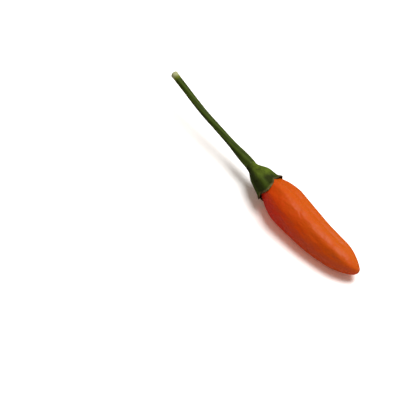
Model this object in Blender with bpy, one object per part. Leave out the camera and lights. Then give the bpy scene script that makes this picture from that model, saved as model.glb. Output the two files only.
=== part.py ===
"""A small fresh chilli pepper lying on its side: the pod, the calyx over its shoulder and the long stem.

Metres, +Z up. The chilli runs along X, from the free end of the stem (-X) to the tip of the pod (+X), and
lies on the plane z = 0. Its shape is worked out around a centre line, where "along" is the distance in X from
the pod's shoulder: positive towards the tip, negative through the calyx and the stem. The whole is then moved
so that the origin is under the middle of its bounding box.
"""

import math

import bmesh
import bpy
from mathutils import Vector

MM = 0.001
UP = Vector((0.0, 0.0, 1.0))

# Pod
POD_LENGTH = 44.7 * MM
POD_RADIUS = 6.1 * MM
POD_SHOULDER = 13.8 * MM  # how much of the length the rounding at the calyx end takes
POD_NOSE = 9.8 * MM  # the same at the tip
SHOULDER_BLUNTNESS = 1.3  # as a power: 2 is an ellipse, and less is more pointed
NOSE_BLUNTNESS = 2.0
POD_TAPER = 0.35  # share of the radius that the pod would lose by its tip if it had no rounded nose
TAPER_DELAY = 1.4  # as a power: 1 is a straight taper, and more keeps the width for longer
LOBES = 3  # the chambers inside show on the skin as this many low ridges
LOBE_HEIGHT = 0.015  # as a share of the radius
LOBE_TWIST = 0.7  # radians that the ridges turn between shoulder and tip
POD_AROUND = 48
POD_RINGS = 40

# Centre line
BOW = 1.2 * MM  # how far the middle of the pod bends sideways, towards -Y
TILT = 0.05  # how much the line falls for each unit towards the tip, so that the tapered pod lies flat
STEM_CURVE = 1.9  # per metre: the stem bends up as a parabola
STEM_DRIFT = 0.04  # how much the stem runs to the side, +Y, for each unit away from the pod

# Calyx
NECK = 5.05 * MM  # from the pod's shoulder back to where the calyx meets the stem
NECK_RADIUS = 1.75 * MM
CUP_RADIUS = 3.85 * MM  # outside the cup, level with the pod's shoulder
CUP_SLOPE = 0.15  # how fast the cup widens from there
CALYX_WALL = 0.4 * MM
MARGIN = 5.9 * MM  # how far over the pod the calyx reaches between its teeth
MARGIN_TILT = 0.3 * MM  # how much further it reaches on the side of the tooth that points up
TEETH = 5
TOOTH_REACH = 1.1 * MM
TOOTH_SHARPNESS = 1.5  # as a power: 1 is a straight-sided tooth, and more is a finer point
TOOTH_ANGLE = math.radians(67.5)  # where the first tooth stands, from +Y round to +Z
CALYX_AROUND = 60
CALYX_RINGS = 26
NECK_SHARE = 0.12  # of those rings, how many lie on the flat end of the neck
OUTSIDE_SHARE = 0.58  # and how many by the outer edge of the margin
MARGIN_SHARE = 0.62  # and by its inner edge
HOLLOW_SPACING = 1.5  # as a power: more crowds the rings where the hollow curves most, at its bottom

# Stem
STEM_LENGTH = 42.5 * MM
STEM_RADIUS = 1.07 * MM
STEM_ROOT_RADIUS = 1.68 * MM  # where it meets the calyx
STEM_FLARE = 12.0 * MM  # the length over which it thickens towards the calyx
STEM_KNOB = 0.1 * MM  # how much the free end is swollen
KNOB_LENGTH = 2.0 * MM
STEM_POINTS = 28

GAP = 0.3 * MM  # between two pieces
REST_DEPTH = 0.2 * MM  # how much of the skin is pressed flat where the pod lies on its side

# Name, colour and roughness of each material
SKIN = ("chilli_skin", (0.70, 0.115, 0.012, 1.0), 0.35)
CALYX_GREEN = ("calyx_green", (0.07, 0.11, 0.015, 1.0), 0.5)
STEM_GREEN = ("stem_green", (0.06, 0.10, 0.014, 1.0), 0.5)


def smooth(t):
    """0 below t = 0, 1 above t = 1, with a smooth step between."""
    t = min(1.0, max(0.0, t))
    return t * t * (3.0 - 2.0 * t)


def pod_radius(along):
    """Radius of the pod's skin from the centre line."""
    before_shoulder = max(0.0, 1.0 - along / POD_SHOULDER)
    past_nose = max(0.0, 1.0 - (POD_LENGTH - along) / POD_NOSE)
    tapering = max(0.0, (along - POD_SHOULDER) / (POD_LENGTH - POD_SHOULDER))
    rounding = (1.0 - before_shoulder**SHOULDER_BLUNTNESS) * (1.0 - past_nose**NOSE_BLUNTNESS)
    return POD_RADIUS * (1.0 - POD_TAPER * tapering**TAPER_DELAY) * math.sqrt(max(0.0, rounding))


def axis_point(along):
    """The centre line of the pod, the calyx and the stem."""
    middle = 0.5 * POD_LENGTH
    behind = max(0.0, -along)
    if along > 0.0:
        side = -BOW * math.sin(math.pi * along / POD_LENGTH)
    else:
        side = BOW * (1.0 - math.exp(-math.pi * behind / POD_LENGTH)) + STEM_DRIFT * behind
    height = pod_radius(middle) - REST_DEPTH + TILT * (middle - along) + STEM_CURVE * behind**2
    return Vector((along, side, height))


def around_axis(along, radius, angle):
    """The point this far from the centre line. The angle turns from +Y, at 0, to +Z."""
    step = 0.1 * MM
    forward = (axis_point(along + step) - axis_point(along - step)).normalized()
    side = UP.cross(forward).normalized()
    return axis_point(along) + radius * (math.cos(angle) * side + math.sin(angle) * forward.cross(side))


def hollow_radius(along):
    """Radius of the hollow that the pod's shoulder sits in, clear of the skin by the gap."""
    return pod_radius(along + GAP) + GAP


def calyx_radius(along):
    """Radius of the calyx outside: a neck that opens into a cup, which then follows the pod."""
    cup = max(CUP_RADIUS + CUP_SLOPE * along, hollow_radius(along) + CALYX_WALL)
    return NECK_RADIUS + (cup - NECK_RADIUS) * smooth((along + NECK) / (NECK + GAP))


def margin_at(angle):
    """How far over the pod the calyx reaches at this angle, with its pointed teeth."""
    turns = (angle - TOOTH_ANGLE) * TEETH / math.tau
    off_tooth = 2.0 * abs(turns - round(turns))
    upwards = math.cos(angle - TOOTH_ANGLE - math.tau / TEETH)
    return MARGIN + MARGIN_TILT * upwards + TOOTH_REACH * (1.0 - off_tooth) ** TOOTH_SHARPNESS


def calyx_point(share, angle):
    """A point of the calyx, from the middle of its neck's end (0) out over the margin to its hollow (1)."""
    margin = margin_at(angle)
    if share <= NECK_SHARE:
        return around_axis(-NECK, NECK_RADIUS * share / NECK_SHARE, angle)
    if share <= OUTSIDE_SHARE:
        along = -NECK + (margin + NECK) * (share - NECK_SHARE) / (OUTSIDE_SHARE - NECK_SHARE)
        return around_axis(along, calyx_radius(along), angle)
    left = min(1.0, (1.0 - share) / (1.0 - MARGIN_SHARE))
    along = -GAP + (margin + GAP) * left**HOLLOW_SPACING
    radius = hollow_radius(along) if share < 1.0 else 0.0
    return around_axis(along, radius, angle)


def make_material(name, colour, roughness):
    material = bpy.data.materials.new(name)
    material.use_nodes = True
    shader = material.node_tree.nodes["Principled BSDF"]
    shader.inputs["Base Color"].default_value = colour
    shader.inputs["Roughness"].default_value = roughness
    shader.inputs["Metallic"].default_value = 0.0
    return material


def ringed_sphere(around, rings):
    """A sphere whose points are given as the share of the way from one pole to the other, and an angle."""
    form = bmesh.new()
    bmesh.ops.create_uvsphere(form, u_segments=around, v_segments=rings, radius=1.0)
    places = {}
    for vert in form.verts:
        share = math.acos(max(-1.0, min(1.0, -vert.co.z))) / math.pi
        places[vert] = (round(share * rings) / rings, math.atan2(vert.co.y, vert.co.x))
    return form, places


def finish_mesh(name, form):
    """Makes the shape an object, shaded smooth but for its sharp edges."""
    mesh = bpy.data.meshes.new(name)
    form.to_mesh(mesh)
    form.free()
    mesh.shade_smooth()
    mesh.set_sharp_from_angle(angle=math.radians(40.0))
    return bpy.data.objects.new(name, mesh)


def make_pod():
    """A sphere drawn out along the centre line, and pressed flat where it rests."""
    form, places = ringed_sphere(POD_AROUND, POD_RINGS)
    for vert, (share, angle) in places.items():
        along = POD_LENGTH * 0.5 * (1.0 - math.cos(math.pi * share))
        lobes = 1.0 + LOBE_HEIGHT * math.cos(LOBES * angle + LOBE_TWIST * share)
        vert.co = around_axis(along, pod_radius(along) * lobes, angle)
    everything = form.verts[:] + form.edges[:] + form.faces[:]
    cut = bmesh.ops.bisect_plane(
        form, geom=everything, dist=0.001 * MM, plane_co=(0, 0, 0), plane_no=UP, clear_inner=True
    )
    rim = [item for item in cut["geom_cut"] if isinstance(item, bmesh.types.BMEdge)]
    bmesh.ops.holes_fill(form, edges=rim)
    return finish_mesh("pod", form)


def make_calyx():
    """A sphere folded into a thick neck and a thin cup with five teeth."""
    form, places = ringed_sphere(CALYX_AROUND, CALYX_RINGS)
    for vert, (share, angle) in places.items():
        vert.co = calyx_point(share, angle)
    return finish_mesh("calyx", form)


def make_stem():
    """A round rod along the centre line, thicker at the calyx and a little swollen at its free end."""
    curve = bpy.data.curves.new("stem", "CURVE")
    curve.dimensions = "3D"
    curve.bevel_depth = STEM_RADIUS
    curve.bevel_resolution = 4
    curve.use_fill_caps = True
    spline = curve.splines.new("POLY")
    spline.points.add(STEM_POINTS - 1)
    for number, point in enumerate(spline.points):
        run = STEM_LENGTH * number / (STEM_POINTS - 1)
        flare = (STEM_ROOT_RADIUS - STEM_RADIUS) * smooth(1.0 - run / STEM_FLARE)
        knob = STEM_KNOB * smooth(1.0 - (STEM_LENGTH - run) / KNOB_LENGTH)
        point.co = (*axis_point(-NECK - GAP - run), 1.0)
        point.radius = (STEM_RADIUS + flare + knob) / STEM_RADIUS
    return bpy.data.objects.new("stem", curve)


def bottom_centre(pieces):
    """The middle of the pieces' bounding box, at its lowest height."""
    graph = bpy.context.evaluated_depsgraph_get()
    points = []
    for piece in pieces:
        solid = piece.evaluated_get(graph)
        points += [solid.matrix_world @ vert.co for vert in solid.to_mesh().vertices]
        solid.to_mesh_clear()
    low = Vector([min(point[axis] for point in points) for axis in range(3)])
    high = Vector([max(point[axis] for point in points) for axis in range(3)])
    middle = 0.5 * (low + high)
    return Vector((middle.x, middle.y, low.z))


def build():
    for obj in list(bpy.data.objects):
        bpy.data.objects.remove(obj)
    chilli = bpy.data.collections.new("chilli_pepper")
    bpy.context.scene.collection.children.link(chilli)

    pieces = []
    for piece, material in (
        (make_pod(), SKIN),
        (make_calyx(), CALYX_GREEN),
        (make_stem(), STEM_GREEN),
    ):
        piece.data.materials.append(make_material(*material))
        chilli.objects.link(piece)
        pieces.append(piece)

    holder = bpy.data.objects.new("chilli_origin", None)
    chilli.objects.link(holder)
    holder.location = -bottom_centre(pieces)
    for piece in pieces:
        piece.parent = holder
    bpy.context.view_layer.update()


build()
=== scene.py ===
"""A fresh chilli pepper in fine detail, grown around its engineering model.

Lengths are in metres unless a name or comment says otherwise. The pod, the calyx and the stem are built along
one centre line, on which "along" is the distance in X from the pod's shoulder: positive towards the tip,
negative through the calyx and the stem. Angles turn round that line from +Y, at 0, to +Z. The 3D view's
sidebar has a tab with the sizes and colours.
"""

import math
from collections import namedtuple

import bmesh
import bpy
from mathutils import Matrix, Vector, noise


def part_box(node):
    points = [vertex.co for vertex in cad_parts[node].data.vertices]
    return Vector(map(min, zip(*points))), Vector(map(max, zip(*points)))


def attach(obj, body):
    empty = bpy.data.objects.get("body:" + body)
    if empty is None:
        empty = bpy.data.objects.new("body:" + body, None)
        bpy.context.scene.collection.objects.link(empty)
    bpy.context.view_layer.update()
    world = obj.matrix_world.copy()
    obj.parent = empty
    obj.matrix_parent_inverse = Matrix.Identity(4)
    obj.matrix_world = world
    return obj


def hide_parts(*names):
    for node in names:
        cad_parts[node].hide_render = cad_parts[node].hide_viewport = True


bl_info = {
    "name": "Fresh chilli pepper",
    "version": (1, 0, 0),
    "blender": (4, 5, 0),
    "location": "View3D > Sidebar > Chilli",
    "description": "Grows a chilli pepper's pod, calyx and stem, and sets a studio table under it",
    "category": "Add Mesh",
}

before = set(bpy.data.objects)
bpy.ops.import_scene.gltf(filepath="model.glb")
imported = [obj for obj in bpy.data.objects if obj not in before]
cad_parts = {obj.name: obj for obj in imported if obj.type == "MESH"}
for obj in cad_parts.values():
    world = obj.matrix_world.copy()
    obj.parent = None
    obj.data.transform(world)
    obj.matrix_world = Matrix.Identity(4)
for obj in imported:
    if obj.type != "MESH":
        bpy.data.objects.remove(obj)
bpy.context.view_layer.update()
POD_LOW, POD_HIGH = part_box("pod")
CALYX_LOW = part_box("calyx")[0]
STEM_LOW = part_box("stem")[0]

BODY = "root"
MM = 0.001
UP = Vector((0.0, 0.0, 1.0))

# Distances from the pod's shoulder: to its tip, back to the end of the calyx's neck, and back to the stem's
# free end, which lies a little short of the end of its CAD solid.
POD_LENGTH = POD_HIGH.x - POD_LOW.x
NECK_LENGTH = POD_LOW.x - CALYX_LOW.x
STEM_END = POD_LOW.x - STEM_LOW.x - 0.65 * MM
POD_MIDDLE = 0.5 * (POD_LOW.x + POD_HIGH.x)  # this one is a place in X

# Low ridges on the pod, over the walls of the chambers inside. Angles and widths in degrees, the rest in mm;
# the twist is what the ridge turns by on its way from the shoulder to the tip.
Ridge = namedtuple("Ridge", "angle twist height width start end")
POD_RIDGES = (
    Ridge(angle=88, twist=38, height=0.36, width=19, start=2, end=46),
    Ridge(angle=58, twist=18, height=-0.55, width=11, start=3, end=42),
    Ridge(angle=27, twist=14, height=0.30, width=16, start=2, end=44),
    Ridge(angle=126, twist=20, height=0.12, width=10, start=3, end=24),
    Ridge(angle=222, twist=25, height=0.10, width=34, start=2, end=44),
    Ridge(angle=322, twist=22, height=0.26, width=24, start=2, end=45),
)
RIDGE_FADE = 7.0  # the length over which a ridge rises and falls at its ends

# Swellings and dents. Angles and widths in degrees, the rest in mm.
Swell = namedtuple("Swell", "along angle height length width")
POD_SWELLS = (
    Swell(along=9.5, angle=36, height=0.34, length=6.5, width=38),
    Swell(along=4.0, angle=205, height=-0.75, length=6.0, width=60),
    Swell(along=29.0, angle=25, height=-0.34, length=6.0, width=40),
    Swell(along=28.0, angle=207, height=0.30, length=6.5, width=50),
    Swell(along=36.0, angle=25, height=-0.26, length=3.6, width=34),
    Swell(along=41.0, angle=207, height=-0.24, length=4.0, width=60),
    Swell(along=43.5, angle=28, height=-0.36, length=4.2, width=55),
    Swell(along=34.6, angle=104, height=-0.07, length=1.4, width=10),
    Swell(along=24.0, angle=300, height=0.18, length=8.0, width=35),
    Swell(along=13.0, angle=265, height=-0.20, length=5.0, width=30),
)
CALYX_DENT = Swell(along=0.5, angle=205, height=-0.60, length=3.2, width=51.57)

# Fine unevenness of a surface: its height in mm, its waves round the line, their length along it in mm, and a
# seed.
Ruffle = namedtuple("Ruffle", "height around lengthwise seed")
POD_RUFFLES = (
    Ruffle(height=0.06, around=1.6, lengthwise=7.0, seed=3.0),
    Ruffle(height=0.045, around=4.5, lengthwise=5.0, seed=9.0),
    Ruffle(height=0.016, around=10.0, lengthwise=3.0, seed=5.0),
)
CALYX_RUFFLE = Ruffle(height=0.07, around=3.0, lengthwise=2.5, seed=1.0)
STEM_RUFFLES = (
    Ruffle(height=0.06, around=0.8, lengthwise=6.0, seed=4.0),
    Ruffle(height=0.02, around=4.0, lengthwise=9.0, seed=7.0),
)
KNOB_RUFFLE = Ruffle(height=0.05, around=2.5, lengthwise=0.8, seed=2.0)
PALE_END_RUFFLE = Ruffle(height=0.3, around=1.5, lengthwise=2.0, seed=1.0)

# The calyx's teeth. Angles and widths in degrees, reach and flare in mm; a sharpness over 1 is a finer point,
# and dryness is how brown the tip is, from 0 to 1.
Tooth = namedtuple("Tooth", "angle reach width flare sharpness dryness")
TEETH = (
    Tooth(angle=52, reach=0.45, width=22, flare=0.62, sharpness=0.7, dryness=1.0),
    Tooth(angle=122, reach=2.60, width=40, flare=0.16, sharpness=0.55, dryness=0.15),
    Tooth(angle=178, reach=1.25, width=22, flare=0.40, sharpness=0.7, dryness=1.0),
    Tooth(angle=254, reach=1.40, width=36, flare=0.35, sharpness=1.0, dryness=0.6),
    Tooth(angle=330, reach=1.30, width=34, flare=0.45, sharpness=1.0, dryness=0.8),
)
BROADEST_TOOTH = max(TEETH, key=lambda tooth: tooth.width)

# Points round each piece, and rings of them from one end to the other.
POD_POINTS = (192, 220)
CALYX_POINTS = (200, 110)
STEM_POINTS = (72, 260)

# Centre line
SWAY_MIDDLE = 0.66 * STEM_END  # how far behind the pod's shoulder the stem sways most
SWAY_WIDTH = 0.3 * STEM_END

# Pod
SHOULDER_BLUNTNESS = 1.3  # as a power: 2 is an ellipse, and less is more pointed
NOSE_BLUNTNESS = 2
TAPER_DELAY = 1.4  # as a power: 1 is a straight taper, and more keeps the width for longer
SMOOTH_POLE = 2.4 * MM  # where the pod is thinner than this, towards its ends, its relief fades out
PRESSED_EDGE = 0.08 * MM  # rounding round the flat place that the pod lies on
SCAR_LENGTH = 0.12 * MM  # how far from the tip the dry scar reaches
LIT_UNRIPE_ANGLE = 40  # the side that ripens last, towards the lamp, where the skin is painted more orange as painted light, in degrees
LIT_UNRIPE_WIDTH = 25  # how many degrees from there ripening and painted shade start
RIPENING_AND_SHADE_WIDTH = 118  # and over how many it is complete
RIPENING_LENGTH = 40.0 * MM  # the pod is riper the nearer it is to its shoulder, over this length
RIPE_SHADED_TIP = 0.45  # ripeness of the low flank past that length, which is partly painted shade
RIPE_BACK = 0.15  # how ripe the side that ripens last, towards the lamp, is at the shoulder

# Calyx
RIB_WIDTH = 12  # in degrees
RIB_START = 0.9 * NECK_LENGTH  # how far behind the pod's shoulder the ribs start
RIB_RISE = 4.5 * MM  # the length over which they rise
FURROW_SHARE = 0.35  # how far the furrows lie under the surface, as a share of the ribs' height
CUP_OPENING = 1.0 * MM  # how far past the pod's shoulder the cup is fully open
CUP_SLOPE = 0.15  # how fast it widens from there
CUP_ROUNDING = 0.3 * MM  # of the change from the open cup to the part that follows the pod
MARGIN_HEIGHT = 0.12  # unevenness of the margin, in mm
MARGIN_WAVES = 3.0
CURL_LENGTH = 2.4 * MM  # how much of a tooth curls off the pod
CURL_WIDTH = 0.6  # how wide the curl is, as a share of the tooth's width
SUNK = 0.97  # inner radius as a share of the pod's
LIFT = 0.25 * MM  # a tooth that curls this far has come off the pod inside too
NECK_SHARE = 0.05  # how many of the rings lie on the flat end of the neck
OUTSIDE_SHARE = 0.64  # how many lie before the outer edge of the margin
INSIDE_SHARE = 0.68  # and before its inner edge
HOLLOW_SPACING = 1.5  # as a power: more crowds the rings at the bottom of the hollow
MARGIN_BULGE = 0.4  # how far the margin's edge is rounded out, as a share of the wall
CROWN_ANGLE = 60  # the middle of the fresh green crown, on the lamp's side and partly painted light, in degrees
CROWN_WIDTH = 1.3  # in radians
CROWN_END = 1.0 * MM  # how far past the pod's shoulder it keeps its colour
CROWN_FADE = 4.0 * MM
DRY_WIDTH = 0.75  # how wide a dry tip is, as a share of the tooth's width
EDGE_WIDTH = 0.9 * MM  # how far in from the margin the dry tips and the worn edge reach
DRY_FADE = 0.8 * MM
WORN_FADE = 0.7 * MM
WORN_WIDTH = 0.6  # how far the broadest tooth's worn edge runs to each side, in radians
WORN_ELSEWHERE = 0.3  # how worn the rest of the edge is, against that

# Stem
STEM_ROUNDING = 0.8 * MM  # of the free end
STEM_ROOT = -0.8 * NECK_LENGTH  # the root ends here, inside the calyx's neck
ROOT_NARROWING = 0.2  # share of the radius lost inside the neck
NARROWING_START = 1.02 * NECK_LENGTH  # how far behind the pod's shoulder that starts
NARROWING_LENGTH = 0.2 * NECK_LENGTH
END_SHARE = 0.04  # how many of the rings lie on the rounded free end
ROOT_SHARE = 0.98  # and how many before the flat end of the root
STEM_RIDGES = 5.0
STEM_TWIST = 18.0  # radians that the ridges turn by, from the pod's shoulder to the free end
THIN_RIDGE = 0.04  # height of the ridges where the stem is thin, in mm
THICK_RIDGE = 0.05  # how much higher they are where it is thickest
RIDGE_SHADING = 0.18  # how much lighter a ridge is painted than the rind between it and a furrow, as painted light and shade
KNOB_HEIGHT = 0.13 * MM  # how much the free end is swollen
KNOB_LENGTH = 2.6 * MM
YOUNG_LENGTH = 2.2 * MM  # how much of the free end is a lighter green
YOUNG_FADE = 1.4 * MM  # and the length over which that turns into the rind's green
PALE_LENGTH = 1.2 * MM  # the same for the dry, pale part at its very end
PALE_FADE = 1.3 * MM

# Stage
TABLE_SIZE = 1.6  # far past the camera's view on every side
GLOW_LENGTH = 30.0 * MM  # how far from the pod's middle the board's painted glow reaches along the table
GLOW_WIDTH = 13.0 * MM  # and across
LAMP_SIDE = Vector((0.12, 0.29, 0.95)).normalized()  # from the pod towards the lamp
LAMP_DISTANCE = 0.376
LAMP_SIZE = (0.23, 0.22)
DIM_FROM = -0.15  # cosine of the angle from the lamp's direction past which the room is dimmest
BRIGHT_FROM = 0.75  # and of the angle within which it is brightest
SENSOR_WIDTH = 36.0  # in mm, as the camera takes it


def linear(colour):
    """An sRGB hex colour as the linear RGBA that shaders take."""
    channels = [int(colour[place : place + 2], 16) / 255.0 for place in (0, 2, 4)]
    decoded = [c / 12.92 if c <= 0.04045 else ((c + 0.055) / 1.055) ** 2.4 for c in channels]
    return (*decoded, 1.0)


def length(name, description, millimetres):
    """A property that holds a length, given in millimetres."""
    return bpy.props.FloatProperty(
        name=name,
        description=description,
        default=millimetres * MM,
        precision=5,
        unit="LENGTH",
        subtype="DISTANCE",
    )


def number(name, description, value):
    """A property that holds a plain number."""
    return bpy.props.FloatProperty(name=name, description=description, default=value, precision=3)


def turn(name, description, degrees):
    """A property that holds an angle, given in degrees."""
    return bpy.props.FloatProperty(
        name=name,
        description=description,
        default=math.radians(degrees),
        unit="ROTATION",
        subtype="ANGLE",
    )


def tint(name, description, colour):
    """A property that holds a colour, given as sRGB hex."""
    return bpy.props.FloatVectorProperty(
        name=name,
        description=description,
        default=linear(colour),
        size=4,
        min=0.0,
        max=1.0,
        subtype="COLOR",
    )


class ChilliLine(bpy.types.PropertyGroup):
    """The centre line that every piece is built along."""

    bow: length("Bow", "How far the middle of the pod bends to the side", 1.2)
    tilt: number("Tilt", "How much the line falls for each unit towards the tip", 0.05)
    rise: number("Rise", "How fast the stem curves upwards, per metre", 1.9)
    drift: number("Drift", "How much the stem runs to the side for each unit away from the pod", 0.04)
    sway: length("Sway", "How far the middle of the stem hangs back to the other side", 0.6)
    press: length("Press", "How much of the skin is pressed flat where the pod lies", 0.2)


class ChilliPod(bpy.types.PropertyGroup):
    """Sizes and colours of the pod."""

    length: length("Length", "From the shoulder under the calyx to the tip", POD_LENGTH / MM + 0.35)
    radius: length("Radius", "Radius at the fattest place", 5.95)
    shoulder: length("Shoulder", "Length of the rounding at the calyx end", 13.8)
    nose: length("Nose", "Length of the rounding at the tip", 9.3)
    taper: number("Taper", "Share of the radius lost towards the tip", 0.35)
    # The ripe colour lies low on the flank, away from the lamp, where it is partly painted shade; the turning
    # colour, on the side towards the lamp, is partly painted light.
    ripe_and_shaded: tint("Ripe", "Skin that has ripened furthest, low on the flank and by the calyx", "b41a02")
    middle: tint("Middle", "Skin of most of the pod", "ae3902")
    turning_and_lit: tint("Turning", "Skin that is still turning, on the back and towards the tip", "a64805")
    scar: tint("Scar", "The tiny dry scar at the tip", "8a4a1e")


class ChilliCalyx(bpy.types.PropertyGroup):
    """Sizes and colours of the calyx."""

    neck_radius: length("Neck radius", "Radius where the calyx meets the stem", 1.72)
    cup_radius: length("Cup radius", "Radius of the cup level with the top of the pod", 3.8)
    wall: length("Wall", "Thickness of the cup", 0.3)
    margin: length("Margin", "How far the cup reaches over the pod between its teeth", 5.6)
    rib: length("Rib", "Height of the ribs that run out to the teeth", 0.42)
    green: tint("Green", "Colour of the cup", "34420e")
    # The shade colour is painted shade in the furrows, and also the colour of the darker veins; the fresh
    # colour on the crown is partly painted light.
    shade: tint("Shade", "Colour of its furrows", "1f2604")
    fresh: tint("Fresh", "Colour of its crown, towards the stem", "516316")
    worn: tint("Worn", "Colour of its thin edge", "786640")
    brown: tint("Brown", "Colour of the tips of the teeth, which dry first", "33240a")


class ChilliStem(bpy.types.PropertyGroup):
    """Sizes and colours of the stem."""

    radius: length("Radius", "Radius of the thin part", 1.13)
    root_radius: length("Root radius", "Radius where it meets the calyx", 1.72)
    flare: length("Flare", "Length over which it thickens", 14.0)
    green: tint("Green", "Colour of the rind", "36450e")
    # The shade colour is painted shade in the furrows.
    shade: tint("Shade", "Colour of its furrows", "222c06")
    fresh: tint("Fresh", "Colour just behind the free end", "5a6316")
    pale: tint("Pale", "Colour of the dry free end", "8f926a")


class ChilliStage(bpy.types.PropertyGroup):
    """The table, the lights and the camera."""

    azimuth: turn("Azimuth", "Camera's turn round the chilli", 51.56)
    elevation: turn("Elevation", "Camera's height above the horizon", 50.0)
    distance: length("Distance", "From the camera to the point that it looks at", 420.0)
    lens: number("Lens", "Focal length in millimetres on a 36 mm sensor", 121.3)
    aim_x: length("Aim X", "Where on the table the camera looks", -6.9)
    aim_y: length("Aim Y", "Where on the table the camera looks", -16.04)
    table: tint("Table", "Colour of the table", "fcfcfc")
    bright_side: number("Bright side", "Brightness of the room on the side that the light comes from", 0.5)
    dim_side: number("Dim side", "Brightness of the room on the other side", 0.01)
    room: tint("Room", "Colour of the room's light", "ffeedf")
    # The board gives off this painted glow itself, round the pod.
    painted_glow: tint("Glow", "Warm light that the skin throws on the table around it", "6c3420")
    key: number("Key", "Power of the large soft light, in watts", 2.15)


def smooth(t):
    """0 below t = 0, 1 above t = 1, with a smooth step between."""
    t = min(1.0, max(0.0, t))
    return t * t * (3.0 - 2.0 * t)


def bell(distance, width):
    """1 at no distance, falling smoothly away to almost nothing by twice the width."""
    return math.exp(-((distance / width) ** 2))


def larger(a, b, rounding):
    """The larger of two lengths, with a rounded change from one to the other."""
    return 0.5 * (a + b + math.hypot(a - b, rounding))


def faded(distance, start, reach):
    """1 as far as the start, then falling smoothly to 0 over the reach."""
    return 1.0 - smooth((distance - start) / reach)


def turned(angle, degrees):
    """How far an angle is from another one in degrees, from -pi to pi."""
    return (angle - math.radians(degrees) + math.pi) % math.tau - math.pi


def line_point(along):
    """The centre line."""
    line = bpy.context.scene.chilli_line
    shoulder = bpy.context.scene.chilli_pod.shoulder
    behind = max(0.0, -along)
    if along > 0.0:
        side = -line.bow * math.sin(math.pi * along / POD_LENGTH)
    else:
        side = line.bow * (1.0 - math.exp(-math.pi * behind / POD_LENGTH)) + line.drift * behind
        side -= line.sway * bell(behind - SWAY_MIDDLE, SWAY_WIDTH)
    # The pod's box is as wide as its bowed middle, so its ends lie three quarters of the bow to the side.
    ends = 0.5 * (POD_LOW.y + POD_HIGH.y) + 0.75 * line.bow
    height = 0.5 * (POD_HIGH.z - line.press) + line.tilt * (shoulder - along) + line.rise * behind**2
    return Vector((POD_LOW.x + along, ends + side, height))


def around_line(along, radius, angle):
    """The point this far from the centre line, square to it."""
    step = 0.1 * MM
    forward = (line_point(along + step) - line_point(along - step)).normalized()
    side = UP.cross(forward).normalized()
    return line_point(along) + radius * (math.cos(angle) * side + math.sin(angle) * forward.cross(side))


def straightened(along, radius, angle):
    """Where a point would lie if the centre line were straight, which patterns on the skin follow."""
    return Vector((along, radius * math.cos(angle), radius * math.sin(angle)))


def ruffled(ruffle, along, angle):
    """Height of the unevenness at a point, in mm."""
    around = ruffle.around * math.cos(angle), ruffle.around * math.sin(angle) + ruffle.seed
    return ruffle.height * noise.noise(Vector((*around, along / MM / ruffle.lengthwise)))


def swollen(swell, along, angle):
    """Height of the swelling, or depth of the dent, at a point, in mm."""
    place = bell(along / MM - swell.along, swell.length)
    return swell.height * place * bell(turned(angle, swell.angle), math.radians(swell.width))


def pod_profile(along):
    """Radius of the pod before its ridges and dents."""
    pod = bpy.context.scene.chilli_pod
    before_shoulder = max(0.0, 1.0 - along / pod.shoulder)
    past_nose = max(0.0, 1.0 - (pod.length - along) / pod.nose)
    tapering = max(0.0, (along - pod.shoulder) / (pod.length - pod.shoulder))
    rounding = (1.0 - before_shoulder**SHOULDER_BLUNTNESS) * (1.0 - past_nose**NOSE_BLUNTNESS)
    return pod.radius * (1.0 - pod.taper * tapering**TAPER_DELAY) * math.sqrt(max(0.0, rounding))


def pod_radius(along, angle):
    """Radius of the pod's skin, with its ridges, swellings, dents and fine unevenness."""
    along = min(bpy.context.scene.chilli_pod.length, max(0.0, along))
    radius = pod_profile(along)
    relief = 0.0
    for ridge in POD_RIDGES:
        off = turned(angle, ridge.angle + ridge.twist * along / POD_LENGTH)
        fade = smooth((along / MM - ridge.start) / RIDGE_FADE)
        fade *= smooth((ridge.end - along / MM) / RIDGE_FADE)
        relief += ridge.height * fade * bell(off, math.radians(ridge.width))
    for swell in POD_SWELLS:
        relief += swollen(swell, along, angle)
    for ruffle in POD_RUFFLES:
        relief += ruffled(ruffle, along, angle)
    return radius + relief * MM * smooth(radius / SMOOTH_POLE)


def ringed_sphere(around, rings, *attributes):
    """A sphere whose points are given as the share of the way from one pole to the other, and an angle.

    It also returns the vertex layers that hold where a point would lie on a straight line, and the attributes
    named.
    """
    form = bmesh.new()
    form.verts.layers.float_vector.new("straight")
    for name in attributes:
        form.verts.layers.float.new(name)
    bmesh.ops.create_uvsphere(form, u_segments=around, v_segments=rings, radius=1.0)
    places = {}
    for vert in form.verts:
        share = math.acos(max(-1.0, min(1.0, -vert.co.z))) / math.pi
        places[vert] = (round(share * rings) / rings, math.atan2(vert.co.y, vert.co.x))
    layers = [form.verts.layers.float[name] for name in attributes]
    return form, places, form.verts.layers.float_vector["straight"], *layers


def finish_piece(name, form, material):
    """Makes the shape a piece that stands for the CAD node of its name."""
    mesh = bpy.data.meshes.new(name)
    form.to_mesh(mesh)
    form.free()
    mesh.shade_smooth()
    mesh.materials.append(material)
    piece = bpy.data.objects.new(name + "_grown", mesh)
    bpy.context.scene.collection.objects.link(piece)
    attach(piece, BODY)
    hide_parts(name)


def add_node(tree, kind, inputs, **settings):
    """Adds a node. Its inputs are given values, or another node's output to link."""
    node = tree.nodes.new(kind)
    for name, value in settings.items():
        setattr(node, name, value)
    for name, value in inputs.items():
        if isinstance(value, bpy.types.NodeSocket):
            tree.links.new(value, node.inputs[name])
        else:
            node.inputs[name].default_value = value
    return node


def new_material(name):
    """An empty material and its node tree."""
    material = bpy.data.materials.new(name)
    material.use_nodes = True
    material.node_tree.nodes.clear()
    return material, material.node_tree


# The Mix node's sockets where it mixes colours: its factor, the two colours and the result.
FACTOR = 0
COLOUR_A, COLOUR_B = 6, 7
COLOUR_RESULT = 2


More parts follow.
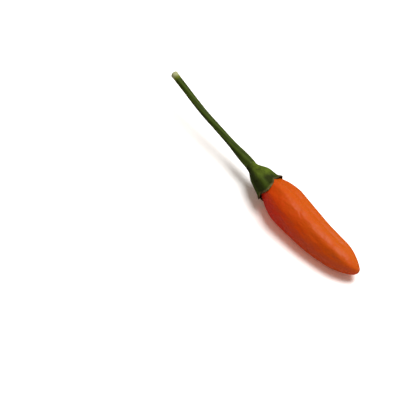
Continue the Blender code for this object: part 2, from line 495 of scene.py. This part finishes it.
def skin_material():
    """Ripe chilli skin: a thin, taut cuticle over soft flesh, with a natural wax on it.

    The wax gives a broad, soft gloss instead of a sharp one, and the flesh under it lets some light through.
    The colour runs from red to orange, because the pod ripens from its calyx and its underside first. The
    redder, darker flank away from the lamp is partly painted shade, and the more orange side towards the lamp
    is partly painted light.
    """
    pod = bpy.context.scene.chilli_pod
    material, tree = new_material("waxy chilli skin")
    place = add_node(tree, "ShaderNodeTexCoord", {}).outputs["Object"]
    grain = add_node(tree, "ShaderNodeAttribute", {}, attribute_name="straight").outputs["Vector"]
    ripeness, scar = (
        add_node(tree, "ShaderNodeAttribute", {}, attribute_name=name).outputs["Fac"]
        for name in ("ripeness", "scar")
    )

    # Cloudy patches about 4 mm across, and faint streaks along the pod about 0.8 mm apart.
    clouds = add_node(
        tree,
        "ShaderNodeTexNoise",
        {"Vector": place, "Scale": 1.0 / (4.0 * MM), "Detail": 3.0, "Roughness": 0.6},
    ).outputs["Fac"]
    stretched = add_node(
        tree, "ShaderNodeMapping", {"Vector": grain, "Scale": (0.14, 1.0, 1.0)}
    ).outputs["Vector"]
    streaks = add_node(
        tree, "ShaderNodeTexNoise", {"Vector": stretched, "Scale": 1.0 / (0.8 * MM), "Detail": 2.0}
    ).outputs["Fac"]
    # Shallow dimples that break up the gloss, longer along the pod than across it.
    drawn_out = add_node(
        tree, "ShaderNodeMapping", {"Vector": grain, "Scale": (0.5, 1.0, 1.0)}
    ).outputs["Vector"]
    dimples = add_node(
        tree, "ShaderNodeTexNoise", {"Vector": drawn_out, "Scale": 1.0 / (2.2 * MM), "Detail": 2.0}
    ).outputs["Fac"]
    # The cells of the skin are too fine to show, so these specks stand in for them at 0.35 mm.
    specks = add_node(
        tree, "ShaderNodeTexNoise", {"Vector": place, "Scale": 1.0 / (0.35 * MM), "Detail": 2.0}
    ).outputs["Fac"]

    # Each pattern makes the skin a little riper where it is bright.
    uneven_ripeness_and_shade = ripeness
    for pattern, strength in ((clouds, 0.34), (streaks, 0.12), (specks, 0.08)):
        uneven_ripeness_and_shade = add_node(
            tree, "ShaderNodeMath", {0: pattern, 1: strength, 2: uneven_ripeness_and_shade}, operation="MULTIPLY_ADD"
        ).outputs["Value"]
    # Half of the patterns' strength is taken off, so that on average they leave the ripeness as it was.
    evened = add_node(
        tree, "ShaderNodeMath", {0: uneven_ripeness_and_shade, 1: 0.27}, operation="SUBTRACT"
    ).outputs["Value"]

    # Riper skin is redder and darker. On the flank away from the lamp this is partly painted shade, and the
    # more orange side towards it is partly painted light.
    half_ripe_and_shaded, full_ripe_and_shaded = (
        add_node(
            tree, "ShaderNodeMapRange", {"Value": evened, "From Min": start, "From Max": start + 0.5}
        ).outputs["Result"]
        for start in (0.0, 0.5)
    )
    colour = pod.turning_and_lit
    for amount, over in ((half_ripe_and_shaded, pod.middle), (full_ripe_and_shaded, pod.ripe_and_shaded), (scar, pod.scar)):
        colour = add_node(
            tree, "ShaderNodeMix", {FACTOR: amount, COLOUR_A: colour, COLOUR_B: over}, data_type="RGBA"
        ).outputs[COLOUR_RESULT]

    # The wax lies unevenly, so the gloss does too.
    roughness = add_node(
        tree,
        "ShaderNodeMapRange",
        {"Value": dimples, "From Min": 0.3, "From Max": 0.7, "To Min": 0.36, "To Max": 0.52},
    ).outputs["Result"]
    fine = add_node(
        tree, "ShaderNodeBump", {"Strength": 0.25, "Distance": 0.03 * MM, "Height": specks}
    ).outputs["Normal"]
    uneven = add_node(
        tree, "ShaderNodeBump", {"Strength": 0.85, "Distance": 0.6 * MM, "Height": dimples, "Normal": fine}
    ).outputs["Normal"]
    creased = add_node(
        tree, "ShaderNodeBump", {"Strength": 0.35, "Distance": 0.05 * MM, "Height": streaks, "Normal": uneven}
    ).outputs["Normal"]
    shader = add_node(
        tree,
        "ShaderNodeBsdfPrincipled",
        {
            "Base Color": colour,
            "Roughness": roughness,
            "Normal": creased,
            "IOR": 1.45,
            "Subsurface Weight": 0.08,
            "Subsurface Radius": (1.0, 0.22, 0.06),
            "Subsurface Scale": 1.2 * MM,
            "Specular IOR Level": 0.145,
        },
    )
    add_node(tree, "ShaderNodeOutputMaterial", {"Surface": shader.outputs["BSDF"]})
    return material


def calyx_material():
    """Chilli calyx: a leathery, leaf-like cup with ribs, whose teeth dry brown from their tips.

    It is less shiny than the pod. Its furrows are painted darker than its ribs, as painted shade, and its
    crown on the lamp's side is painted a lighter green, partly as painted light.
    """
    calyx = bpy.context.scene.chilli_calyx
    material, tree = new_material("leathery chilli calyx")
    place = add_node(tree, "ShaderNodeTexCoord", {}).outputs["Object"]
    grain = add_node(tree, "ShaderNodeAttribute", {}, attribute_name="straight").outputs["Vector"]
    rib, crown, dry, edge = (
        add_node(tree, "ShaderNodeAttribute", {}, attribute_name=name).outputs["Fac"]
        for name in ("rib", "crown", "dry", "edge")
    )

    # Patches about 1.6 mm across, veins about 0.45 mm apart that run along the cup, and fine pores.
    patches = add_node(
        tree,
        "ShaderNodeTexNoise",
        {"Vector": place, "Scale": 1.0 / (1.6 * MM), "Detail": 4.0, "Roughness": 0.6},
    ).outputs["Fac"]
    stretched = add_node(
        tree, "ShaderNodeMapping", {"Vector": grain, "Scale": (0.2, 1.0, 1.0)}
    ).outputs["Vector"]
    veins = add_node(
        tree, "ShaderNodeTexNoise", {"Vector": stretched, "Scale": 1.0 / (0.45 * MM), "Detail": 3.0}
    ).outputs["Fac"]
    pores = add_node(
        tree, "ShaderNodeTexNoise", {"Vector": place, "Scale": 1.0 / (0.2 * MM), "Detail": 2.0}
    ).outputs["Fac"]

    # Ribs lighter and furrows darker, with patches of tone at random: painted light on the ribs and painted
    # shade in the furrows.
    ribbed_tone_and_shade = add_node(
        tree, "ShaderNodeMath", {0: patches, 1: 0.9, 2: rib}, operation="MULTIPLY_ADD"
    ).outputs["Value"]
    tone_and_shade = add_node(
        tree, "ShaderNodeMapRange", {"Value": ribbed_tone_and_shade, "From Min": 0.38, "From Max": 1.05}
    ).outputs["Result"]
    # The crown, on the lamp's side by the stem, is painted a lighter green: partly a fresher green, partly
    # painted light.
    lit_crowned = add_node(tree, "ShaderNodeMath", {0: crown, 1: patches}, operation="MULTIPLY").outputs["Value"]
    freshness_and_light = add_node(
        tree, "ShaderNodeMapRange", {"Value": lit_crowned, "From Min": 0.1, "From Max": 0.55, "To Max": 0.9}
    ).outputs["Result"]
    veined = add_node(
        tree,
        "ShaderNodeMapRange",
        {"Value": veins, "From Min": 0.35, "From Max": 0.65, "To Min": 0.35, "To Max": 0.0},
    ).outputs["Result"]
    worn = add_node(tree, "ShaderNodeMath", {0: edge, 1: patches}, operation="MULTIPLY").outputs["Value"]
    # Between the patches that wear pale, the edge withers brown.
    paleness = add_node(tree, "ShaderNodeMath", {0: 0.62, 1: patches}, operation="SUBTRACT").outputs["Value"]
    withering = add_node(
        tree, "ShaderNodeMath", {0: paleness, 1: edge}, operation="MULTIPLY"
    ).outputs["Value"]
    browned = add_node(
        tree, "ShaderNodeMapRange", {"Value": withering, "From Min": 0.08, "From Max": 0.24, "To Max": 0.6}
    ).outputs["Result"]
    dried = add_node(tree, "ShaderNodeMath", {0: browned, 1: dry}, operation="MAXIMUM").outputs["Value"]
    colour = calyx.shade
    for amount, over in (
        (tone_and_shade, calyx.green),
        (freshness_and_light, calyx.fresh),
        (veined, calyx.shade),
        (worn, calyx.worn),
        (dried, calyx.brown),
    ):
        colour = add_node(
            tree, "ShaderNodeMix", {FACTOR: amount, COLOUR_A: colour, COLOUR_B: over}, data_type="RGBA"
        ).outputs[COLOUR_RESULT]

    roughness = add_node(
        tree,
        "ShaderNodeMapRange",
        {"Value": patches, "From Min": 0.3, "From Max": 0.7, "To Min": 0.42, "To Max": 0.6},
    ).outputs["Result"]
    fine = add_node(
        tree, "ShaderNodeBump", {"Strength": 0.4, "Distance": 0.03 * MM, "Height": pores}
    ).outputs["Normal"]
    veiny = add_node(
        tree, "ShaderNodeBump", {"Strength": 0.6, "Distance": 0.08 * MM, "Height": veins, "Normal": fine}
    ).outputs["Normal"]
    shader = add_node(
        tree,
        "ShaderNodeBsdfPrincipled",
        {
            "Base Color": colour,
            "Roughness": roughness,
            "Normal": veiny,
            "IOR": 1.42,
            "Specular IOR Level": 0.16,
        },
    )
    add_node(tree, "ShaderNodeOutputMaterial", {"Surface": shader.outputs["BSDF"]})
    return material


def stem_material():
    """Chilli stem: a smooth green rind with fibres running along it, dry and pale where it was picked.

    The fibres give fine light and dark lines, and the rind has a soft, uneven shine. Its ridges are painted
    lighter and its furrows darker, as painted light and shade.
    """
    stem = bpy.context.scene.chilli_stem
    material, tree = new_material("fibrous chilli stem")
    place = add_node(tree, "ShaderNodeTexCoord", {}).outputs["Object"]
    grain = add_node(tree, "ShaderNodeAttribute", {}, attribute_name="straight").outputs["Vector"]
    ridge, young, dry = (
        add_node(tree, "ShaderNodeAttribute", {}, attribute_name=name).outputs["Fac"]
        for name in ("ridge", "young", "dry")
    )

    # Fibres about 0.35 mm apart that run along the stem, patches about 2.2 mm across, and fine pores.
    stretched = add_node(
        tree, "ShaderNodeMapping", {"Vector": grain, "Scale": (0.06, 1.0, 1.0)}
    ).outputs["Vector"]
    fibres = add_node(
        tree, "ShaderNodeTexNoise", {"Vector": stretched, "Scale": 1.0 / (0.35 * MM), "Detail": 3.0}
    ).outputs["Fac"]
    patches = add_node(
        tree, "ShaderNodeTexNoise", {"Vector": place, "Scale": 1.0 / (2.2 * MM), "Detail": 3.0}
    ).outputs["Fac"]
    pores = add_node(
        tree, "ShaderNodeTexNoise", {"Vector": place, "Scale": 1.0 / (0.2 * MM), "Detail": 2.0}
    ).outputs["Fac"]

    # Ridges lighter and furrows darker, with fibres and patches of tone: painted light on the ridges and
    # painted shade in the furrows.
    streaks_and_shade = add_node(
        tree, "ShaderNodeMath", {0: fibres, 1: patches, 2: ridge}, operation="MULTIPLY_ADD"
    ).outputs["Value"]
    tone_and_shade = add_node(
        tree, "ShaderNodeMapRange", {"Value": streaks_and_shade, "From Min": 0.12, "From Max": 0.6}
    ).outputs["Result"]
    colour = stem.shade
    for amount, over in ((tone_and_shade, stem.green), (young, stem.fresh), (dry, stem.pale)):
        colour = add_node(
            tree, "ShaderNodeMix", {FACTOR: amount, COLOUR_A: colour, COLOUR_B: over}, data_type="RGBA"
        ).outputs[COLOUR_RESULT]

    roughness = add_node(
        tree,
        "ShaderNodeMapRange",
        {"Value": patches, "From Min": 0.3, "From Max": 0.7, "To Min": 0.42, "To Max": 0.56},
    ).outputs["Result"]
    fine = add_node(
        tree, "ShaderNodeBump", {"Strength": 0.4, "Distance": 0.02 * MM, "Height": pores}
    ).outputs["Normal"]
    ridged = add_node(
        tree, "ShaderNodeBump", {"Strength": 0.6, "Distance": 0.08 * MM, "Height": fibres, "Normal": fine}
    ).outputs["Normal"]
    shader = add_node(
        tree,
        "ShaderNodeBsdfPrincipled",
        {
            "Base Color": colour,
            "Roughness": roughness,
            "Normal": ridged,
            "IOR": 1.42,
            "Specular IOR Level": 0.16,
        },
    )
    add_node(tree, "ShaderNodeOutputMaterial", {"Surface": shader.outputs["BSDF"]})
    return material


class OBJECT_OT_chilli_pod(bpy.types.Operator):
    """Grow the pod"""

    bl_idname = "object.chilli_pod"
    bl_label = "Pod"

    def execute(self, context):
        form, places, straight, ripeness, scar = ringed_sphere(*POD_POINTS, "ripeness", "scar")
        tip = context.scene.chilli_pod.length
        for vert, (share, angle) in places.items():
            along = tip * 0.5 * (1.0 - math.cos(math.pi * share))
            radius = pod_radius(along, angle)
            vert.co = around_line(along, radius, angle)
            vert.co.z = larger(vert.co.z, 0.0, PRESSED_EDGE)
            vert[straight] = straightened(along, radius, angle)
            # Ripeness grows towards the shoulder, and round the line away from the lamp, where it is partly
            # painted shade.
            by_length = faded(along, 0.0, RIPENING_LENGTH)
            off_lit_unripe = abs(turned(angle, LIT_UNRIPE_ANGLE)) - math.radians(LIT_UNRIPE_WIDTH)
            by_side = smooth(off_lit_unripe / math.radians(RIPENING_AND_SHADE_WIDTH))
            vert[ripeness] = by_side * (RIPE_SHADED_TIP + (1.0 - RIPE_SHADED_TIP) * by_length) + RIPE_BACK * by_length
            vert[scar] = smooth((along - tip) / SCAR_LENGTH + 1.0)
        finish_piece("pod", form, skin_material())
        return {"FINISHED"}


def calyx_margin(angle):
    """How far over the pod the calyx reaches at this angle."""
    reach = 0.0
    for tooth in TEETH:
        off = abs(turned(angle, tooth.angle)) / math.radians(tooth.width)
        reach += tooth.reach * max(0.0, 1.0 - off) ** tooth.sharpness
    around = MARGIN_WAVES * math.cos(angle), MARGIN_WAVES * math.sin(angle)
    reach += MARGIN_HEIGHT * noise.noise(Vector((*around, 2.0)))
    return bpy.context.scene.chilli_calyx.margin + reach * MM


def calyx_rib(along, angle):
    """How much a point lies on a rib, from 0 to 1. The ribs run out from the neck to the teeth."""
    on_rib = max(bell(turned(angle, tooth.angle), math.radians(RIB_WIDTH)) for tooth in TEETH)
    return on_rib * smooth((along + RIB_START) / RIB_RISE)


def on_tooth(tooth, angle, share):
    """1 in the middle of a tooth, falling to almost nothing by twice this share of its width."""
    return bell(turned(angle, tooth.angle), math.radians(share * tooth.width))


def calyx_flare(along, angle):
    """How far a point lies off the pod because its tooth curls outwards."""
    curl = smooth((along - calyx_margin(angle) + CURL_LENGTH) / CURL_LENGTH) ** 2
    return curl * max(tooth.flare * on_tooth(tooth, angle, CURL_WIDTH) for tooth in TEETH) * MM


def calyx_outside(along, angle):
    """Outer radius of the calyx: a neck that opens into a cup, and then follows the pod."""
    calyx = bpy.context.scene.chilli_calyx
    opening = smooth((along + NECK_LENGTH) / (NECK_LENGTH + CUP_OPENING))
    cup = calyx.neck_radius + (calyx.cup_radius + CUP_SLOPE * along - calyx.neck_radius) * opening
    on_pod = pod_radius(along, angle) + calyx.wall if along > 0.0 else 0.0
    body = larger(cup, on_pod, CUP_ROUNDING)
    relief = calyx.rib * (calyx_rib(along, angle) - FURROW_SHARE * opening)
    relief += ruffled(CALYX_RUFFLE, along, angle) * MM * opening
    relief += swollen(CALYX_DENT, along, angle) * MM
    return body + relief + calyx_flare(along, angle)


def calyx_inside(along, angle):
    """Inner radius: a little inside the pod's skin, so that no gap shows, but off it where a tooth curls."""
    wall = bpy.context.scene.chilli_calyx.wall
    sunk = SUNK * pod_radius(along, angle)
    lifting = smooth(calyx_flare(along, angle) / LIFT)
    return sunk + (calyx_outside(along, angle) - wall - sunk) * lifting


def calyx_place(share, angle, margin):
    """Where a point of the calyx lies along the line, and its radius.

    The share runs from the middle of the neck's end, at 0, over the margin to the bottom of the hollow, at 1.
    """
    if share <= NECK_SHARE:
        return -NECK_LENGTH, calyx_outside(-NECK_LENGTH, angle) * share / NECK_SHARE
    if share <= OUTSIDE_SHARE:
        outside = (share - NECK_SHARE) / (OUTSIDE_SHARE - NECK_SHARE)
        along = -NECK_LENGTH + (margin + NECK_LENGTH) * outside
        return along, calyx_outside(along, angle)
    if share < INSIDE_SHARE:
        turn_back = math.pi * (share - OUTSIDE_SHARE) / (INSIDE_SHARE - OUTSIDE_SHARE)
        bulge = MARGIN_BULGE * bpy.context.scene.chilli_calyx.wall * math.sin(turn_back)
        inside = calyx_inside(margin, angle)
        wall = calyx_outside(margin, angle) - inside
        return margin + bulge, inside + wall * 0.5 * (1.0 + math.cos(turn_back))
    along = margin * ((1.0 - share) / (1.0 - INSIDE_SHARE)) ** HOLLOW_SPACING
    return along, calyx_inside(along, angle) if share < 1.0 else 0.0


def dryness(angle):
    """How dry the calyx's margin is at this angle: most at the tips of its driest teeth."""
    return max(tooth.dryness * on_tooth(tooth, angle, DRY_WIDTH) for tooth in TEETH)


class OBJECT_OT_chilli_calyx(bpy.types.Operator):
    """Grow the calyx"""

    bl_idname = "object.chilli_calyx"
    bl_label = "Calyx"

    def execute(self, context):
        form, places, straight, rib, crown, dry, edge = ringed_sphere(
            *CALYX_POINTS, "rib", "crown", "dry", "edge"
        )
        for vert, (share, angle) in places.items():
            margin = calyx_margin(angle)
            along, radius = calyx_place(share, angle, margin)
            vert.co = around_line(along, radius, angle)
            vert[straight] = straightened(along, radius, angle)
            vert[rib] = calyx_rib(along, angle)
            # The crown lies on the lamp's side and is painted lighter, partly as painted light.
            on_lit_crown = bell(turned(angle, CROWN_ANGLE), CROWN_WIDTH)
            vert[crown] = on_lit_crown * faded(along, CROWN_END, CROWN_FADE)
            into_edge = along - margin + EDGE_WIDTH
            vert[dry] = dryness(angle) * smooth(into_edge / DRY_FADE)
            on_broadest = bell(turned(angle, BROADEST_TOOTH.angle), WORN_WIDTH)
            wear = WORN_ELSEWHERE + (1.0 - WORN_ELSEWHERE) * on_broadest
            vert[edge] = smooth(into_edge / WORN_FADE) * wear
        finish_piece("calyx", form, calyx_material())
        return {"FINISHED"}


def stem_ridge(along, angle):
    """1 on the crest of one of the stem's lengthwise ridges, and -1 in the furrow beside it."""
    return math.cos(STEM_RIDGES * angle + STEM_TWIST * along / STEM_END)


def stem_radius(along, angle):
    """Radius of the stem, from where it meets the calyx to its free end."""
    stem = bpy.context.scene.chilli_stem
    run = -along - NECK_LENGTH
    thickening = smooth(1.0 - run / stem.flare)
    knob = smooth(1.0 - (STEM_END + along) / KNOB_LENGTH)
    radius = stem.radius + (stem.root_radius - stem.radius) * thickening + KNOB_HEIGHT * knob
    relief = (THIN_RIDGE + THICK_RIDGE * thickening) * stem_ridge(along, angle)
    for ruffle in STEM_RUFFLES:
        relief += ruffled(ruffle, along, angle)
    relief += knob * ruffled(KNOB_RUFFLE, along, angle)
    return radius + relief * MM


def stem_place(share, angle):
    """Where a point of the stem lies along the line, and its radius.

    The share runs from the middle of the free end, at 0, to the middle of the root, at 1.
    """
    rounded = -STEM_END + STEM_ROUNDING
    if share <= END_SHARE:
        arc = 0.5 * math.pi * share / END_SHARE
        return rounded - STEM_ROUNDING * math.cos(arc), stem_radius(rounded, angle) * math.sin(arc)
    if share <= ROOT_SHARE:
        along = rounded + (STEM_ROOT - rounded) * (share - END_SHARE) / (ROOT_SHARE - END_SHARE)
        return along, stem_radius(along, angle)
    return STEM_ROOT, stem_radius(STEM_ROOT, angle) * (1.0 - share) / (1.0 - ROOT_SHARE)


class OBJECT_OT_chilli_stem(bpy.types.Operator):
    """Grow the stem"""

    bl_idname = "object.chilli_stem"
    bl_label = "Stem"

    def execute(self, context):
        form, places, straight, ridge, young, dry = ringed_sphere(*STEM_POINTS, "ridge", "young", "dry")
        for vert, (share, angle) in places.items():
            along, radius = stem_place(share, angle)
            # The root narrows inside the neck, so that it doesn't come through the calyx.
            hidden = smooth((along + NARROWING_START) / NARROWING_LENGTH)
            radius *= 1.0 - ROOT_NARROWING * hidden
            vert.co = around_line(along, radius, angle)
            vert[straight] = straightened(along, radius, angle)
            # Painted light on the ridges and painted shade in the furrows.
            vert[ridge] = RIDGE_SHADING + RIDGE_SHADING * stem_ridge(along, angle)
            from_end = along + STEM_END + ruffled(PALE_END_RUFFLE, along, angle) * MM
            vert[young] = faded(from_end, YOUNG_LENGTH, YOUNG_FADE)
            vert[dry] = faded(from_end, PALE_LENGTH, PALE_FADE)
        finish_piece("stem", form, stem_material())
        return {"FINISHED"}


def table_material():
    """Matt white board, as a studio table has. It is dull, so it shows soft shadows and no reflections, and
    round the pod it has a warm painted glow.
    """
    material, tree = new_material("matt white board")
    place = add_node(tree, "ShaderNodeTexCoord", {}).outputs["Object"]
    # The board's grain, about 0.5 mm across.
    grain = add_node(tree, "ShaderNodeTexNoise", {"Vector": place, "Scale": 1.0 / (0.5 * MM)}).outputs["Fac"]
    normal = add_node(
        tree, "ShaderNodeBump", {"Strength": 0.1, "Distance": 0.02 * MM, "Height": grain}
    ).outputs["Normal"]
    # Painted glow: round the pod the board gives off a warm light of its own, standing in for more light
    # bounced from the orange skin than the bounce alone gives.
    offset = add_node(
        tree, "ShaderNodeVectorMath", {0: place, 1: (POD_MIDDLE, 0.0, 0.0)}, operation="SUBTRACT"
    ).outputs["Vector"]
    spread = add_node(
        tree,
        "ShaderNodeVectorMath",
        {0: offset, 1: (1.0 / GLOW_LENGTH, 1.0 / GLOW_WIDTH, 0.0)},
        operation="MULTIPLY",
    ).outputs["Vector"]
    away = add_node(tree, "ShaderNodeVectorMath", {0: spread}, operation="LENGTH").outputs["Value"]
    painted_glow = add_node(
        tree,
        "ShaderNodeMapRange",
        {"Value": away, "From Min": 0.4, "From Max": 1.0, "To Min": 1.0, "To Max": 0.0},
        interpolation_type="SMOOTHSTEP",
    ).outputs["Result"]
    shader = add_node(
        tree,
        "ShaderNodeBsdfPrincipled",
        {
            "Base Color": bpy.context.scene.chilli_stage.table,
            "Roughness": 0.9,
            "Specular IOR Level": 0.2,
            "Normal": normal,
            "Emission Color": bpy.context.scene.chilli_stage.painted_glow,
            "Emission Strength": painted_glow,
        },
    )
    add_node(tree, "ShaderNodeOutputMaterial", {"Surface": shader.outputs["BSDF"]})
    return material


def add_table():
    """The board that the chilli lies on, which isn't part of it."""
    form = bmesh.new()
    bmesh.ops.create_grid(form, x_segments=2, y_segments=2, size=TABLE_SIZE)
    mesh = bpy.data.meshes.new("table")
    form.to_mesh(mesh)
    form.free()
    mesh.materials.append(table_material())
    table = bpy.data.objects.new("table", mesh)
    # The board is dull next to the wax: the chilli reflects the room instead of it.
    table.visible_glossy = False
    bpy.context.scene.collection.objects.link(table)


def add_room():
    """The room around the table, which is brighter on the lamp's side."""
    stage = bpy.context.scene.chilli_stage
    world = bpy.data.worlds.new("studio")
    world.use_nodes = True
    tree = world.node_tree
    tree.nodes.clear()
    direction = add_node(tree, "ShaderNodeTexCoord", {}).outputs["Generated"]
    facing = add_node(
        tree, "ShaderNodeVectorMath", {0: direction, 1: LAMP_SIDE}, operation="DOT_PRODUCT"
    ).outputs["Value"]
    room = add_node(
        tree,
        "ShaderNodeMapRange",
        {
            "Value": facing,
            "From Min": DIM_FROM,
            "From Max": BRIGHT_FROM,
            "To Min": stage.dim_side,
            "To Max": stage.bright_side,
        },
        interpolation_type="SMOOTHSTEP",
    ).outputs["Result"]
    lit = add_node(
        tree, "ShaderNodeBackground", {"Color": stage.room, "Strength": room}
    ).outputs["Background"]
    # The backdrop is plain from everywhere: the room's shading only lights the chilli.
    plain = add_node(tree, "ShaderNodeBackground", {"Color": (1.0, 1.0, 1.0, 1.0)}).outputs["Background"]
    seen = add_node(tree, "ShaderNodeLightPath", {}).outputs["Is Camera Ray"]
    studio = add_node(tree, "ShaderNodeMixShader", {0: seen, 1: lit, 2: plain}).outputs["Shader"]
    add_node(tree, "ShaderNodeOutputWorld", {"Surface": studio})
    bpy.context.scene.world = world


def add_lamp():
    """One large soft light over the pod."""
    middle = Vector((POD_MIDDLE, 0.0, 0.5 * POD_HIGH.z))
    light = bpy.data.lights.new("softbox", "AREA")
    light.shape = "RECTANGLE"
    light.size, light.size_y = LAMP_SIZE
    light.energy = bpy.context.scene.chilli_stage.key
    lamp = bpy.data.objects.new("softbox", light)
    lamp.location = middle + LAMP_SIDE * LAMP_DISTANCE
    lamp.rotation_mode = "QUATERNION"
    lamp.rotation_quaternion = (lamp.location - middle).to_track_quat("Z", "X")
    lamp.visible_camera = False
    bpy.context.scene.collection.objects.link(lamp)


def add_camera():
    """The camera, which looks down on the chilli from the side of its tip."""
    stage = bpy.context.scene.chilli_stage
    camera = bpy.data.cameras.new("camera")
    camera.lens = stage.lens
    camera.sensor_width = SENSOR_WIDTH
    camera.clip_end = 5.0
    eye = bpy.data.objects.new("camera", camera)
    level = math.cos(stage.elevation)
    back = Vector(
        (math.sin(stage.azimuth) * level, -math.cos(stage.azimuth) * level, math.sin(stage.elevation))
    )
    eye.location = Vector((stage.aim_x, stage.aim_y, 0.0)) + back * stage.distance
    eye.rotation_mode = "QUATERNION"
    eye.rotation_quaternion = back.to_track_quat("Z", "Y")
    bpy.context.scene.collection.objects.link(eye)
    bpy.context.scene.camera = eye


class OBJECT_OT_chilli_stage(bpy.types.Operator):
    """Set the table, the lights and the camera"""

    bl_idname = "object.chilli_stage"
    bl_label = "Stage"

    def execute(self, context):
        add_table()
        add_room()
        add_lamp()
        add_camera()
        context.scene.view_settings.view_transform = "Standard"
        return {"FINISHED"}


class VIEW3D_PT_chilli(bpy.types.Panel):
    """Sizes, colours and operators of the chilli"""

    bl_idname = "VIEW3D_PT_chilli"
    bl_label = "Chilli"
    bl_space_type = "VIEW_3D"
    bl_region_type = "UI"
    bl_category = "Chilli"

    def draw(self, context):
        for group, (title, _, operator) in GROUPS.items():
            box = self.layout.box()
            box.label(text=title)
            settings = getattr(context.scene, group)
            for name in settings.bl_rna.properties.keys():
                if name not in ("rna_type", "name"):
                    box.prop(settings, name)
            if operator:
                box.operator(operator.bl_idname)


# Where each group of settings is kept on the scene, with its title, its class and the operator that uses it.
GROUPS = {
    "chilli_line": ("Centre line", ChilliLine, None),
    "chilli_pod": ("Pod", ChilliPod, OBJECT_OT_chilli_pod),
    "chilli_calyx": ("Calyx", ChilliCalyx, OBJECT_OT_chilli_calyx),
    "chilli_stem": ("Stem", ChilliStem, OBJECT_OT_chilli_stem),
    "chilli_stage": ("Stage", ChilliStage, OBJECT_OT_chilli_stage),
}


def register():
    for name, (_, settings, operator) in GROUPS.items():
        bpy.utils.register_class(settings)
        setattr(bpy.types.Scene, name, bpy.props.PointerProperty(type=settings))
        if operator:
            bpy.utils.register_class(operator)
    bpy.utils.register_class(VIEW3D_PT_chilli)


def unregister():
    bpy.utils.unregister_class(VIEW3D_PT_chilli)
    for name, (_, settings, operator) in GROUPS.items():
        if operator:
            bpy.utils.unregister_class(operator)
        delattr(bpy.types.Scene, name)
        bpy.utils.unregister_class(settings)


def main():
    register()
    bpy.ops.object.chilli_pod()
    bpy.ops.object.chilli_calyx()
    bpy.ops.object.chilli_stem()
    bpy.ops.object.chilli_stage()


if __name__ == "__main__":
    main()
